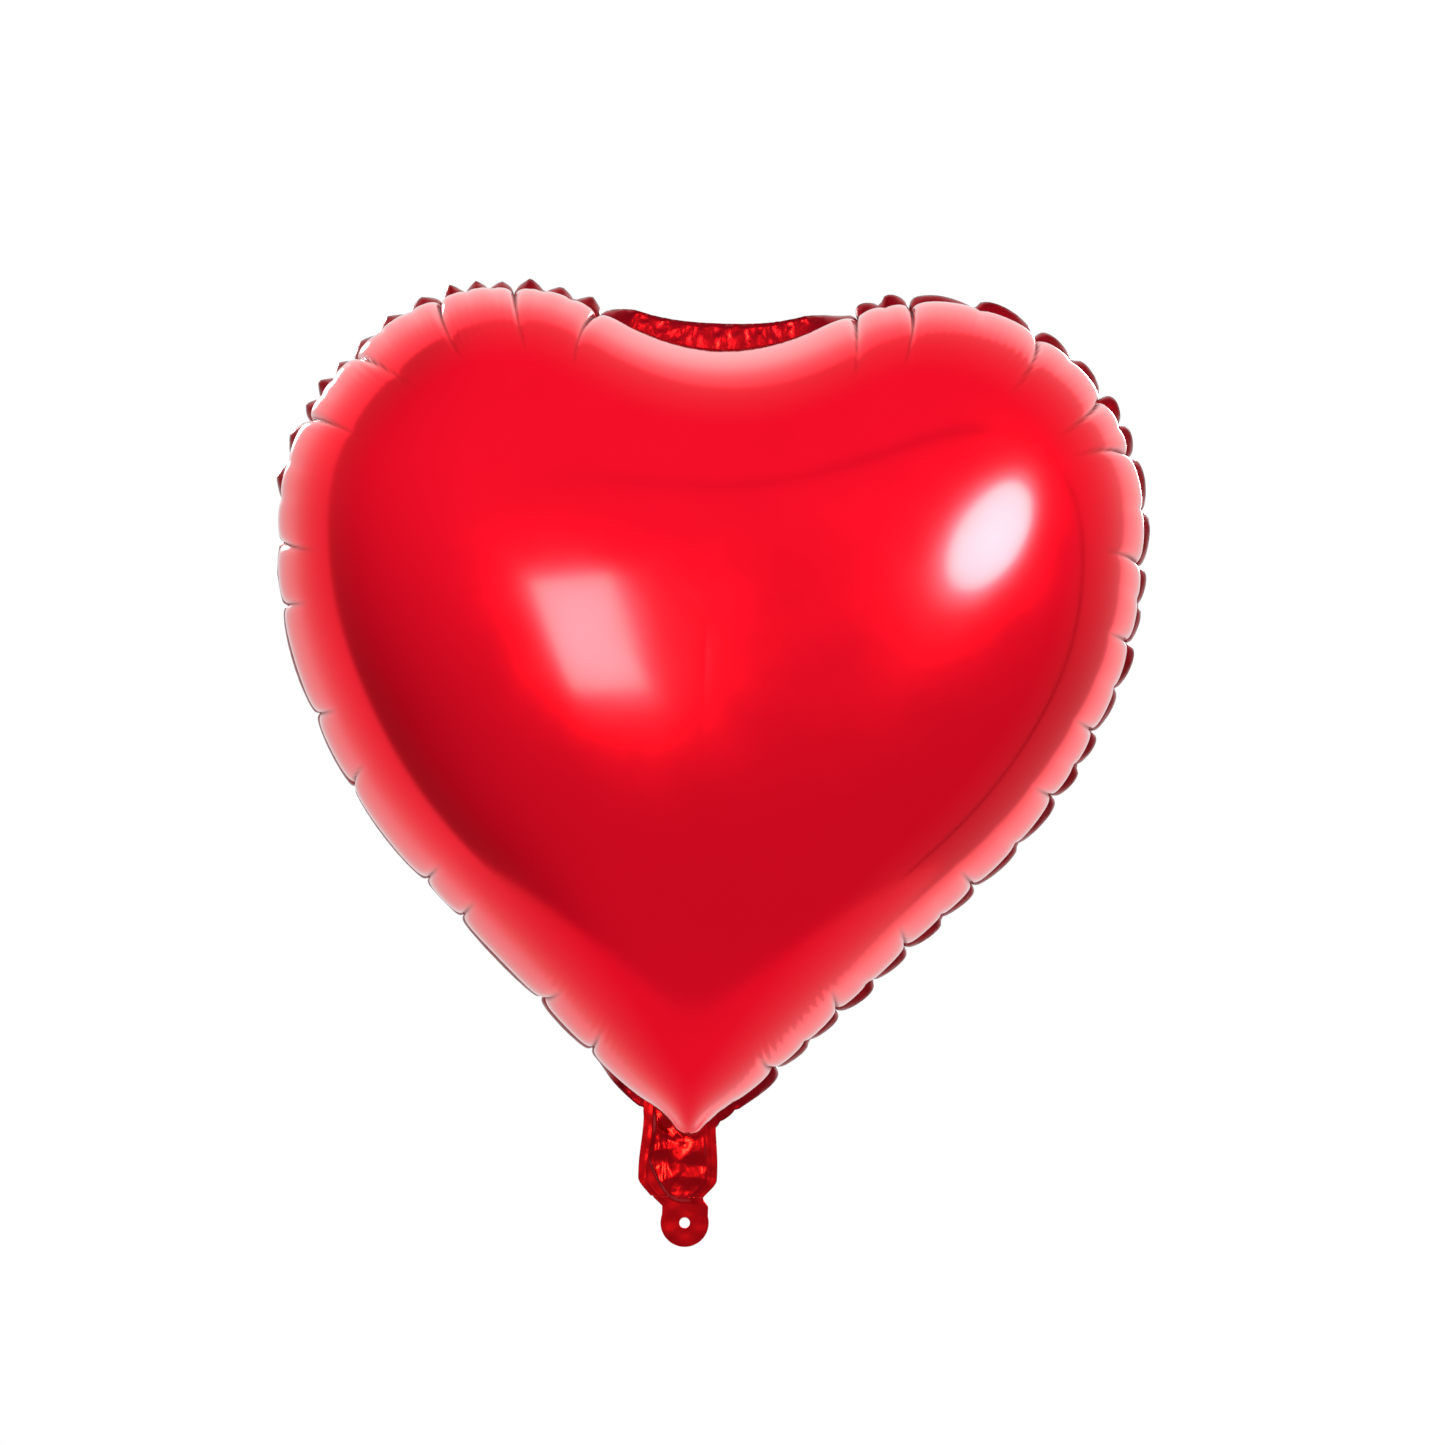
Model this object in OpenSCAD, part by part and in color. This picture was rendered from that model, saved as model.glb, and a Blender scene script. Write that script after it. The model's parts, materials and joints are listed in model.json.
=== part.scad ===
// Heart-shaped foil balloon, inflated, with its filling tail and self-closing valve.
// Millimetres. +Z is up through the notch of the heart, -Y is the front.
// The origin is the centre of the ribbon hole in the tab at the tail's end.
//
// Two domed film panels are heat-sealed along the edge of the heart. The seal is the flat rim that
// shows outside the domes. At the tip the rim is left open as a mouth, and a sleeve of two thin
// films, the valve, runs through it: gas pressure presses the sleeve flat and closes it.
// The film is limp, so it folds at the neck, above the tail, and at the waist, above the tab.

/* [Heart] */
// Width of the inflated heart, from seam to seam
heart_w = 387; // [320:1:480]
// Height of the inflated heart, from the point where its straight edges would meet to the lobe tops
heart_h = 384; // [320:1:470]
// Radius of the two lobes
lobe_r = 99; // [82:1:120]
// Radius of the hollow between the lobes
notch_r = 120; // [110:1:220]
// Radius of the long curve from the straight edge to the lobe
side_r = 230; // [190:1:300]
// How far the lobe circle stays clear of the straight edge's line
side_belly = 42; // [30:1:55]
// Radius of the rounded tip
tip_r = 8; // [5:0.5:12]

/* [Inflation] */
// Thickness of the inflated heart, front to rear
body_depth = 170; // [130:1:210]
// Roundness of the cross-section: 2 is an ellipse, more is flatter in the middle
puff_power = 2.8; // [2.2:0.1:3.6]
// Height above the tip where the ridge of the dome starts
ridge_low = 22; // [16:1:32]
// How far the top of the ridge lies below the lobe centres
ridge_drop = 60; // [40:1:80]

/* [Film] */
// Wall of each panel's film, drawn thicker than the real 0.03
film_t = 0.1; // [0.08:0.01:0.2]
// Wall of each valve film, which runs between the panels
valve_t = 0.08; // [0.05:0.01:0.15]
// Width of the heat-sealed rim outside the domes
rim_w = 5.5; // [4:0.5:9]

/* [Valve] */
// Width of the valve sleeve
valve_w = 23; // [18:1:26]
// Height that the sleeve reaches into the heart above the tip
valve_reach = 75; // [50:1:110]
// Width of the seal along each edge of the sleeve
valve_seal_w = 1.5; // [1:0.1:2.5]
// Gap between the valve's edges and the seals beside it
valve_clear = 0.8; // [0.4:0.1:1.5]

/* [Tail] */
// Height of the heart's tip above the ribbon hole
tip_z = 40; // [34:1:60]
// Width of the tail at the neck
neck_w = 35; // [32:1:42]
// Width of the tail at its widest
tail_w = 37; // [34:1:44]
// Width of the waist between tail and tab
waist_w = 20.6; // [16:0.2:22]
// Height of the waist above the ribbon hole
waist_z = 8.6; // [7:0.2:12]
// How far each tail film bows out from the middle plane
tail_bow = 2.4; // [1:0.1:4]
// Radius of the curve from the rim into the neck
neck_fillet_r = 14; // [8:1:18]

/* [Tab] */
// Radius of the rounded tab
tab_r = 11; // [9:0.5:14]
// Radius of the ribbon hole
hole_r = 2.4; // [1.5:0.1:3.5]

/* [Folds] */
// Gap left on each side of a fold line, so that the film can bend there
fold_gap = 0.3; // [0.25:0.05:0.6]

/* [Hidden] */
$fn = 64;

// Steps along each stretch of the half outline, and across the dome
TIP_STEPS = 3;
STRAIGHT_STEPS = 12;
SIDE_STEPS = 13;
LOBE_STEPS = 16;
NOTCH_STEPS = 5;
DOME_STEPS = 11;
TAIL_ROWS = 10;
TAIL_COLUMNS = 14;
FILLET_STEPS = 6;

// Where the arcs of the half outline have their centres. The straight edge starts at the apex,
// and passes the lobe circle at side_belly, which sets its slope.
lobe_x = heart_w / 2 - lobe_r;
lobe_z = heart_h - lobe_r;
lobe_far = norm([lobe_x, lobe_z]);
slope = atan2(lobe_z, lobe_x) - asin((lobe_r + side_belly) / lobe_far);
along = [cos(slope), sin(slope)];
inward = [-sin(slope), cos(slope)];
straight_len = lobe_far * cos(asin((lobe_r + side_belly) / lobe_far))
    - sqrt(side_belly * (2 * side_r - 2 * lobe_r - side_belly));
tip_c = [0, tip_r / cos(slope)];
side_c = straight_len * along + side_r * inward;
lobe_c = [lobe_x, lobe_z];
notch_c = [0, lobe_z + sqrt(pow(lobe_r + notch_r, 2) - lobe_x * lobe_x)];
side_end = atan2(lobe_c.y - side_c.y, lobe_c.x - side_c.x);
lobe_end = atan2(notch_c.y - lobe_c.y, notch_c.x - lobe_c.x);
straight_start = (tip_c + tip_r * [sin(slope), -cos(slope)]) * along;

// The straight edges would meet at the apex, a little below the rounded tip.
apex_z = tip_z - (tip_c.y - tip_r);
neck_fold_z = tip_z - 0.8;
waist_fold_z = waist_z;
tail_top = neck_fold_z - fold_gap;
tail_bottom = waist_fold_z + fold_gap;
mouth_w = valve_w + 2 * valve_clear;
tail_seal_w = (neck_w - mouth_w) / 2;
ridge_high = lobe_z - ridge_drop;

// The valve films lie between the two panels, so the panels are this far off the middle plane.
rim_t = film_t + valve_t;
dome_depth = body_depth / 2 - rim_t;

// Points on an arc about centre c, from angle a to angle b
function arc(c, r, a, b, steps, first = 0) =
    [for (i = [first:steps]) let (t = a + (b - a) * i / steps) c + r * [cos(t), sin(t)]];

// The arcs above the straight edge, with the outline moved outward by d
function upper_outline(d) = concat(
    arc(side_c, side_r + d, slope - 90, side_end, SIDE_STEPS),
    arc(lobe_c, lobe_r + d, side_end, lobe_end, LOBE_STEPS, 1),
    arc(notch_c, notch_r - d, lobe_end - 180, -90, NOTCH_STEPS, 1)
);

// The whole right half of the heart, from the tip to the notch, moved outward by d
function half_outline(d) = concat(
    arc(tip_c, tip_r + d, -90, slope - 90, TIP_STEPS),
    [for (i = [1:STRAIGHT_STEPS - 1])
        (straight_start + (straight_len - straight_start) * i / STRAIGHT_STEPS) * along - d * inward],
    upper_outline(d)
);

// A right half closed into a full outline by its mirror image
function both_halves(half) = concat(half, [for (i = [len(half) - 1:-1:0]) [-half[i].x, half[i].y]]);

// Running length along a list of points, starting at 0
function running_length(p) =
    [for (i = 0, s = 0; i < len(p); s = s + (i < len(p) - 1 ? norm(p[i + 1] - p[i]) : 0), i = i + 1) s];

// Height of the ridge point that each outline point's rib runs to: low at the tip, and soon
// near the top of the ridge, so that ribs from the straight edges leave them at a right angle
function ridge_heights(half) =
    let (s = running_length(half), total = s[len(s) - 1])
    [for (i = [0:len(half) - 1]) ridge_low + (ridge_high - ridge_low) * (1 - pow(1 - s[i] / total, 5))];

// Depth of the dome at a height on the ridge: it thins towards the tip
function ridge_depth(z, depth) = depth * (1 - pow(1 - z / ridge_high, 1.5));

// One rib of the dome, from the rim up to the ridge: a superellipse quarter
function rib(p, z, depth, side) =
    [for (i = [0:DOME_STEPS])
        let (a = 90 * i / DOME_STEPS, s = i == DOME_STEPS ? 0 : pow(cos(a), 2 / puff_power))
        [side * p.x * s, -rim_t - ridge_depth(z, depth) * sin(a), apex_z + z + (p.y - z) * s]];

// All ribs of a dome round the heart, moved outward by d
function dome(d) =
    let (half = half_outline(d), z = ridge_heights(half_outline(0)), last = len(half) - 1)
    concat(
        [for (k = [0:last]) rib(half[k], z[k], dome_depth + d, 1)],
        [for (k = [last - 1:-1:1]) rib(half[k], z[k], dome_depth + d, -1)]
    );

// Two triangles for the cell between columns a and b and rows i and i + 1, cut the same way on
// both skins of a film, so that the wall stays even. Degenerate ones are left out.
function cell(a0, a1, b0, b1) = [[a0, b0, b1], [a0, b1, a1]];
function real_triangle(t) = t[0] != t[1] && t[1] != t[2] && t[0] != t[2];

// A dome as a closed film: the outer skin, the inner skin and the strip that joins them at the rim.
// Ribs k and count - k end at the same ridge point, so they share it.
module dome_film() {
    outer = dome(0);
    inner = dome(-film_t);
    count = len(outer);
    rows = DOME_STEPS + 1;
    skin = count * rows;
    points = concat([for (r = outer, p = r) p], [for (r = inner, p = r) p]);
    function at(k, i) =
        let (m = k % count) i == DOME_STEPS ? min(m, (count - m) % count) * rows + i : m * rows + i;
    outside = [for (k = [0:count - 1], i = [0:DOME_STEPS - 1],
        t = cell(at(k, i), at(k, i + 1), at(k + 1, i), at(k + 1, i + 1))) if (real_triangle(t)) t];
    inside = [for (t = outside) [t[2] + skin, t[1] + skin, t[0] + skin]];
    rim = [for (k = [0:count - 1], t = cell(at(k, 0) + skin, at(k, 0), at(k + 1, 0) + skin, at(k + 1, 0))) t];
    polyhedron(points = points, faces = concat(outside, inside, rim));
}

// Half width of the tail at a height: round shoulders above the waist, then nearly straight
function tail_half_w(z) =
    let (t = (z - tail_bottom) / (tail_top - tail_bottom), shoulder = sin(90 * min(1, t / 0.45)))
    t < 0.45 ? (waist_w + (tail_w - waist_w) * shoulder) / 2
        : (tail_w + (neck_w - tail_w) * (1 - cos(180 * (t - 0.45) / 0.55)) / 2) / 2;

function tail_z(j) = tail_bottom + (tail_top - tail_bottom) * j / TAIL_ROWS;

// Right edge of the tail, from the waist up to the neck, moved inward by d but never past limit
function tail_edge(d, limit) =
    [for (j = [0:TAIL_ROWS]) [min(tail_half_w(tail_z(j)) - d, limit), tail_z(j)]];

// One skin of a tail film, at distance d outside the seals: flat along its edges and folds
function tail_skin(d) =
    [for (j = [0:TAIL_ROWS], i = [0:TAIL_COLUMNS])
        let (u = 2 * i / TAIL_COLUMNS - 1, t = j / TAIL_ROWS)
        [u * tail_half_w(tail_z(j)), -d - tail_bow * (1 - u * u) * 4 * t * (1 - t), tail_z(j)]];

// A tail film: two skins and the strip round their edge
module tail_film() {
    wide = TAIL_COLUMNS + 1;
    skin = wide * (TAIL_ROWS + 1);
    function at(i, j) = j * wide + i;
    outside = [for (j = [0:TAIL_ROWS - 1], i = [0:TAIL_COLUMNS - 1],
        t = cell(at(i, j), at(i, j + 1), at(i + 1, j), at(i + 1, j + 1))) t];
    inside = [for (t = outside) [t[2] + skin, t[1] + skin, t[0] + skin]];
    loop = concat(
        [for (i = [0:TAIL_COLUMNS]) at(i, 0)],
        [for (j = [1:TAIL_ROWS]) at(TAIL_COLUMNS, j)],
        [for (i = [TAIL_COLUMNS - 1:-1:0]) at(i, TAIL_ROWS)],
        [for (j = [TAIL_ROWS - 1:-1:1]) at(0, j)]
    );
    n = len(loop);
    edge = [for (k = [0:n - 1], t = cell(loop[k] + skin, loop[k], loop[(k + 1) % n] + skin,
        loop[(k + 1) % n])) t];
    polyhedron(points = concat(tail_skin(2 * film_t), tail_skin(film_t)),
        faces = concat(outside, inside, edge));
}

// A flat outline in the XZ plane, given thickness from depth y0 to y1
module plate(y0, y1) {
    translate([0, y1, 0])
        rotate([90, 0, 0])
            linear_extrude(height = y1 - y0)
                children();
}

module front_panel() {
    color("crimson") dome_film();
}

module rear_panel() {
    color("crimson") mirror([0, 1, 0]) dome_film();
}

// Right half of the rim's outer edge: the neck, a fillet that ends above the fold, and the heart
// moved outward by the rim
function rim_half() =
    let (
        bottom = neck_fold_z + fold_gap - apex_z,
        room = (neck_w / 2 * sin(slope) - rim_w - bottom * cos(slope)) / (1 - sin(slope)),
        r = min(neck_fillet_r, room),
        x = neck_w / 2 + r,
        z = (x * sin(slope) - rim_w - r) / cos(slope)
    )
    concat([[neck_w / 2, bottom]], arc([x, z], r, 180, 90 + slope, FILLET_STEPS),
        upper_outline(rim_w));

// The rim: both panels fused into one flat band, with the mouth between them for the valve
module edge_seal() {
    z0 = neck_fold_z + fold_gap;
    color("firebrick")
        difference() {
            plate(-rim_t, rim_t)
                translate([0, apex_z])
                    difference() {
                        polygon(both_halves(rim_half()));
                        polygon(both_halves(half_outline(-film_t)));
                    }
            plate(-valve_t, valve_t)
                translate([-mouth_w / 2, z0 - mouth_w])
                    square([mouth_w, 3 * mouth_w]);
        }
}

// A valve film's outline between its side seals, from height z0 to z1
module sleeve_outline(z0, z1) {
    w = valve_w - 2 * valve_seal_w;
    translate([-w / 2, z0])
        square([w, z1 - z0]);
}

module valve_front_film() {
    color("gainsboro")
        plate(-valve_t, 0)
            sleeve_outline(neck_fold_z + fold_gap, tip_z + valve_reach);
}

module valve_rear_film() {
    color("gainsboro")
        plate(0, valve_t)
            sleeve_outline(neck_fold_z + fold_gap, tip_z + valve_reach);
}

// A strip where the valve films are fused into a sleeve: side 1 is the right one, -1 the left
module valve_seal(side) {
    z0 = neck_fold_z + fold_gap;
    color("silver")
        plate(-valve_t, valve_t)
            translate([side * (valve_w - valve_seal_w) / 2 - valve_seal_w / 2, z0])
                square([valve_seal_w, tip_z + valve_reach - z0]);
}

module tail_front_film() {
    color("crimson") tail_film();
}

module tail_rear_film() {
    color("crimson") mirror([0, 1, 0]) tail_film();
}

// The fused strip along one edge of the tail
module tail_seal(side) {
    outer = tail_edge(0, tail_w);
    inner = tail_edge(tail_seal_w, tail_w);
    color("firebrick")
        plate(-film_t, film_t)
            scale([side, 1])
                polygon(concat(outer, [for (j = [TAIL_ROWS:-1:0]) inner[j]]));
}

// Lower end of the valve films, inside the tail: it narrows with the tail towards the waist
module inlet_outline() {
    polygon(both_halves(tail_edge(tail_seal_w + valve_clear, valve_w / 2)));
}

module inlet_front_film() {
    color("gainsboro") plate(-valve_t, 0) inlet_outline();
}

module inlet_rear_film() {
    color("gainsboro") plate(0, valve_t) inlet_outline();
}

// The tab, fused through, with the hole for ribbon and filling straw
module ribbon_tab() {
    top = waist_fold_z - fold_gap;
    color("firebrick")
        plate(-2 * film_t, 2 * film_t)
            difference() {
                union() {
                    circle(r = tab_r);
                    polygon([[-tab_r, 0], [tab_r, 0], [waist_w / 2, top], [-waist_w / 2, top]]);
                }
                circle(r = hole_r);
                translate([-tab_r, top])
                    square(2 * tab_r);
            }
}

front_panel();
rear_panel();
edge_seal();
valve_front_film();
valve_rear_film();
valve_seal(-1);  // valve_left_seal
valve_seal(1);  // valve_right_seal
tail_front_film();
tail_rear_film();
tail_seal(-1);  // tail_left_seal
tail_seal(1);  // tail_right_seal
inlet_front_film();
inlet_rear_film();
ribbon_tab();
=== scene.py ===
"""Looks of a heart-shaped foil balloon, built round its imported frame.

Lengths are in metres and the frame's axes hold: +Z up through the notch of the heart, -Y the front,
origin in the ribbon hole. "Arc" is the length along the seam from the tip of the heart: a place on
the seam is its arc up the right side, or up the left side."""

import json
import math

import bpy
import numpy as np
from mathutils import Matrix, Vector


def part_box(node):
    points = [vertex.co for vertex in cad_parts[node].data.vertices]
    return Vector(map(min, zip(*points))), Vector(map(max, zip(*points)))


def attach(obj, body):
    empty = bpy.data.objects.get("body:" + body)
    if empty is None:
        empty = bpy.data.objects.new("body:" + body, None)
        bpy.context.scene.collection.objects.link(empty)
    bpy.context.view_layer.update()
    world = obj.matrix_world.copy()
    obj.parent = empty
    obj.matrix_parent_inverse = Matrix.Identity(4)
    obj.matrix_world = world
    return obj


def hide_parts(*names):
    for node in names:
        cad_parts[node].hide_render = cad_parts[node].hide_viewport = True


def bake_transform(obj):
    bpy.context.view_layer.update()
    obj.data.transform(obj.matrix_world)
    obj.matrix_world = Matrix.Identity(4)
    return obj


bl_info = {
    "name": "Heart Foil Balloon",
    "version": (1, 0, 0),
    "blender": (4, 5, 0),
    "location": "3D View > Sidebar > Balloon",
    "description": "Puckered heart panels, heat-sealed rim, valve, tail and tab of a foil balloon",
    "category": "Add Mesh",
}

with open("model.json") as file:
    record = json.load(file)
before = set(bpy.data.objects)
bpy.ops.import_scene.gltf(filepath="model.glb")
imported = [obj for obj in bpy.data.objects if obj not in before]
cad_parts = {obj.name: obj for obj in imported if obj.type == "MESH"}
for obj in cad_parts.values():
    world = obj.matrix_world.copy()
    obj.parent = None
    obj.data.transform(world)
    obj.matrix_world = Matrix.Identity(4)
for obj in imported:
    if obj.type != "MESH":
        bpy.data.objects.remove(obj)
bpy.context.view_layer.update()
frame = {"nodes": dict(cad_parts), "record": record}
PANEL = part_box("front_panel")
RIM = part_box("edge_seal")
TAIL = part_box("tail_front_film")
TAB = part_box("ribbon_tab")
HOLE_R = frame["record"]["mounts"][0]["dims"]["r_mm"] / 1000
MM = 0.001

# Least and most share of the rim that stands out flat between two folds (0: folded behind), for
# each side along its straight edge and on its lobe
RIM_SHOWS = {1: ((0.4, 0.7), (0.5, 0.9)), -1: ((0.0, 0.3), (0.4, 0.9))}
# Half width of the tail at its waist, over its pouch and at its neck, and its flare into the rim
WAIST_HALF, POUCH_HALF, NECK_HALF, FLARE = 0.0105, 0.0180, 0.0165, 0.0070
# Fine ripples on each lobe and beside the tip: distance from the tip, half width, height
LOBE_RIPPLES = (0.470, 0.060, 0.00018)
TIP_RIPPLES = (0.070, 0.035, 0.00009)

# Where the seam stands off the even heart: side, arc, half width along the seam and shift in mm
SEAM_SHIFTS = ((1, 165, 95, -3.4), (1, 300, 40, 1.5), (-1, 425, 50, -3.6), (-1, 310, 50, 1.6))


# ---------------------------------------------------------------- sizes and colours a user may change

def length(name, description, default, low=0.0, high=1.0):
    """A length property in metres."""
    return bpy.props.FloatProperty(name=name, description=description, default=default, min=low,
                                   max=high, subtype="DISTANCE", unit="LENGTH", precision=4)


def amount(name, description, default, low=0.0, high=10.0):
    """A plain number property."""
    return bpy.props.FloatProperty(name=name, description=description, default=default, min=low,
                                   max=high)


def hex_colour(name, description, default):
    """A colour property, kept as an sRGB hex value."""
    return bpy.props.StringProperty(name=name, description=description, default=default)


class HeartSizes(bpy.types.PropertyGroup):
    """The seam's outline and the depth of the inflated body."""
    width: length("Width", "Seam to seam across the lobes", PANEL[1].x - PANEL[0].x)
    tip_z: length("Tip height", "Height of the heart's tip above the ribbon hole", PANEL[0].z)
    lobe_top_z: length("Lobe height", "Height of the lobe tops above the ribbon hole", PANEL[1].z)
    depth: length("Depth", "Thickness of the body from front to rear", -2 * PANEL[0].y)
    lobe_r: length("Lobe radius", "Radius of the two lobes", 0.099)
    notch_r: length("Notch radius", "Radius of the hollow between the lobes", 0.120)
    side_r: length("Side radius", "Radius of the curve from straight edge to lobe", 0.230)
    side_belly: length("Side belly", "How far the lobe stays off the straight edge's line", 0.042)
    tip_r: length("Tip radius", "Radius of the rounded tip", 0.008)
    soften: length("Softening", "Length over which the arcs of the seam run into each other", 0.007)
    seam_out: length("Seam out", "How far the seam stands outside the arcs", 0.0014)
    notch_in: length("Notch in", "How much deeper the seam is pulled into the hollow", 0.0050)
    tip_out: length("Tip out", "How far the rounded end stands out below the seam's tip", 0.0015)
    tip_in: length("Tip in", "How far the seam is drawn in beside the rounded end", 0.0008)
    roll_h: length("Roll height", "How much of the half depth the tight roll along the seam has", 0.043)
    roll_w: length("Roll width", "Distance over which the roll turns flat", 0.027)
    flatness: amount("Flatness", "1 is a soap film's swell, more is flatter in the middle", 1.25)
    film: length("Film", "Drawn thickness of the film", 0.00012)
    columns: bpy.props.IntProperty(name="Columns", description="Mesh columns round the seam",
                                   default=940, min=200, max=1600)
    rings: bpy.props.IntProperty(name="Rings", description="Mesh rings from seam to middle",
                                 default=50, min=12, max=120)


class FoldSizes(bpy.types.PropertyGroup):
    """How the film puckers along the seam, and the ruffled rim outside it."""
    deep_folds: bpy.props.IntProperty(name="Deep folds", description="Deep folds on each side",
                                      default=13, min=4, max=30)
    first_fold: length("First fold", "Arc of the lowest deep fold", 0.050)
    bare_notch: length("Bare notch", "Seam without folds on each side of the notch's middle", 0.055)
    wander: amount("Wander", "How far a fold strays from even spacing, as a share of it", 0.25, 0.0, 0.45)
    edge_depth: length("Depth on the edge", "Depth of a deep fold on the straight edge", 0.0013)
    lobe_depth: length("Depth on the lobe", "Depth of a deep fold on the lobe", 0.0021)
    edge_reach: length("Reach on the edge", "How far a deep fold runs in on the straight edge", 0.034)
    lobe_reach: length("Reach on the lobe", "How far a deep fold runs in on the lobe", 0.056)
    small_depth: length("Small depth", "Depth of the small folds between the deep ones", 0.0007)
    small_reach: length("Small reach", "How far a small fold runs in", 0.018)
    pattern: bpy.props.IntProperty(name="Pattern", description="Start of the random draws",
                                   default=5, min=0, max=999)
    pinch: amount("Pinch", "Depth of the sharp folds, times their depth", 1.5)
    reach: amount("Reach", "How far the folds run into the panel, times their reach", 1.0)
    bulge: length("Bulge", "How far the film swells out past the seam between two folds", 0.0022)
    # Half width of the painted shade along the bottom of each fold
    shade_line_w: length("Pinch line", "Half width of the shut line at the bottom of a fold", 0.0010)
    pinch_w: length("Pinch width", "Half width of a sharp fold", 0.0008)
    pillow: amount("Pillow", "Depth of the broad dip at a fold, times its depth", 0.4)
    pillow_w: length("Pillow width", "Half width of the broad dip", 0.006)
    ripple_pitch: length("Ripple pitch", "Spacing of the fine ripples", 0.0045)
    sway: length("Sway", "How far the seam wanders front to rear at a fold", 0.0014)
    rim_w: length("Rim width", "Width of the ruffled rim", RIM[1].x - PANEL[1].x + 0.0024)
    rim_notch_w: length("Rim width in the notch", "The rim is wider in the hollow", 0.0145)
    rim_t: length("Rim thickness", "Thickness of the fused rim", 0.0003)
    crumple: length("Crumple", "Height of the rim's small wrinkles", 0.0007)


class FilmColours(bpy.types.PropertyGroup):
    """Colours and gloss of the films."""
    foil: hex_colour("Foil", "Tinted metallised film", "F60D29")
    seal: hex_colour("Seal", "Fused double film of the rim", "960414")
    tail: hex_colour("Tail", "Slack film of tail and tab", "A80611")
    valve: hex_colour("Valve", "Clear valve film", "E9EDEE")
    roughness: amount("Roughness", "Blur of the film's mirror", 0.13, 0.0, 1.0)


class StudioSizes(bpy.types.PropertyGroup):
    """Camera and lights."""
    lens: bpy.props.FloatProperty(name="Lens", description="Focal length in mm", default=100.0,
                                  min=20.0, max=300.0, subtype="DISTANCE_CAMERA")
    view_w: length("Width in view", "Width that the picture takes in at the balloon", 0.6583)
    roll: bpy.props.FloatProperty(name="Roll", description="Camera turned about its line of sight",
                                  default=math.radians(2.2), subtype="ANGLE", unit="ROTATION")
    floor_drop: length("Floor drop", "How far the floor lies below the ribbon hole", 2.6, high=5.0)
    sky: amount("Surroundings", "Brightness of the white surroundings", 1.0)


# ---------------------------------------------------------------- helpers

def linear(hex_value, alpha=1.0):
    """An sRGB hex colour as the linear colour that shaders take."""
    channels = [int(hex_value[i:i + 2], 16) / 255 for i in (0, 2, 4)]
    return tuple(c / 12.92 if c <= 0.04045 else ((c + 0.055) / 1.055) ** 2.4 for c in channels) + (alpha,)


def smooth_step(x):
    """0 below 0, 1 above 1, and a smooth S between."""
    t = np.clip(x, 0, 1)
    return t * t * (3 - 2 * t)


def add_mesh(name, points, faces, smooth=True):
    """An object from an array of points and an array of faces with as many corners each."""
    mesh = bpy.data.meshes.new(name)
    mesh.from_pydata(points.tolist(), [], faces.tolist())
    mesh.polygons.foreach_set("use_smooth", np.full(len(mesh.polygons), smooth))
    mesh.update()
    piece = bpy.data.objects.new(name, mesh)
    bpy.context.scene.collection.objects.link(piece)
    return piece


def grid_faces(rows, columns, wrap=False):
    """Quads of a grid of points, row after row: corners (r, c), (r, c + 1), (r + 1, c + 1), (r + 1, c)."""
    r = np.arange(rows - 1)[:, None]
    c = np.arange(columns if wrap else columns - 1)[None, :]
    n = (c + 1) % columns
    return np.stack([r * columns + c, r * columns + n, (r + 1) * columns + n, (r + 1) * columns + c],
                    -1).reshape(-1, 4)


def value_noise(x, z, pitch, seed):
    """Smooth bumps of height -1 to 1: sines along fixed random directions, summed."""
    rng = np.random.default_rng(seed)
    total = np.zeros_like(x)
    for turn, phase, stretch in zip(rng.uniform(0, 2 * np.pi, 9), rng.uniform(0, 2 * np.pi, 9),
                                    rng.uniform(0.6, 1.7, 9)):
        total += np.sin(2 * np.pi * stretch * (x * np.cos(turn) + z * np.sin(turn)) / pitch + phase)
    return total / 4.5


def facets(x, z, pitch, seed, count=7, soft=0.985):
    """Crumpled foil, -1 to 1: a sum of zigzag folds, each along its own bent line.

    A zigzag is the arcsine of a sine, taken a little under one so that its ridges are rounded."""
    rng = np.random.default_rng(seed)
    total = np.zeros_like(x)
    for turn, phase, stretch in zip(rng.uniform(0, np.pi, count), rng.uniform(0, 1, count),
                                    rng.uniform(0.6, 1.8, count)):
        run = stretch * (x * np.cos(turn) + z * np.sin(turn)) / pitch + phase
        bend = 0.35 * np.sin(2 * np.pi * (x * np.sin(turn) - z * np.cos(turn)) / (3 * pitch) + 5 * phase)
        total += np.arcsin(soft * np.sin(2 * np.pi * (run + bend))) / (1.4 * stretch)
    return total / (0.75 * count)


# ---------------------------------------------------------------- the seam

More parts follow.
